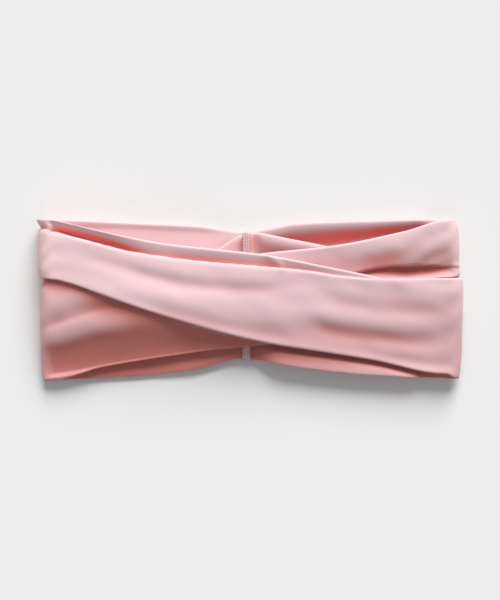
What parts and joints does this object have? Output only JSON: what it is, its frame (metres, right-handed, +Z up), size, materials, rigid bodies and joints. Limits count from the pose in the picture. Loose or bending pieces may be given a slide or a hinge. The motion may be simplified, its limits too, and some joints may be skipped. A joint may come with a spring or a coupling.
{
  "type": "crossed stretch headband",
  "caption": "Wide pink stretch headband of two knit tubes that cross at the front and are sewn together at the centre back, lying flat.",
  "frame": {"origin": "under the middle of the band, on the surface it lies on", "axes": "+X along the lying band towards the end fold where the over panel is low, +Y across the band towards its upper edge, +Z up from the surface, from the back layers to the crossed front"},
  "size_m": [0.235, 0.09, 0.0167],
  "materials": {
    "pink_knit": "fine matte stretch knit with a soft sheen",
    "pink_thread": "matte spun thread"
  },
  "bodies": {
    "root": {"over_panel": "pink_knit", "under_panel": "pink_knit", "over_panel_seam_thread": "pink_thread", "under_panel_seam_thread": "pink_thread", "back_seam_needle_thread_inner": "pink_thread", "back_seam_needle_thread_outer": "pink_thread", "back_seam_looper_thread_left": "pink_thread", "back_seam_looper_thread_right": "pink_thread"}
  },
  "joints": []
}
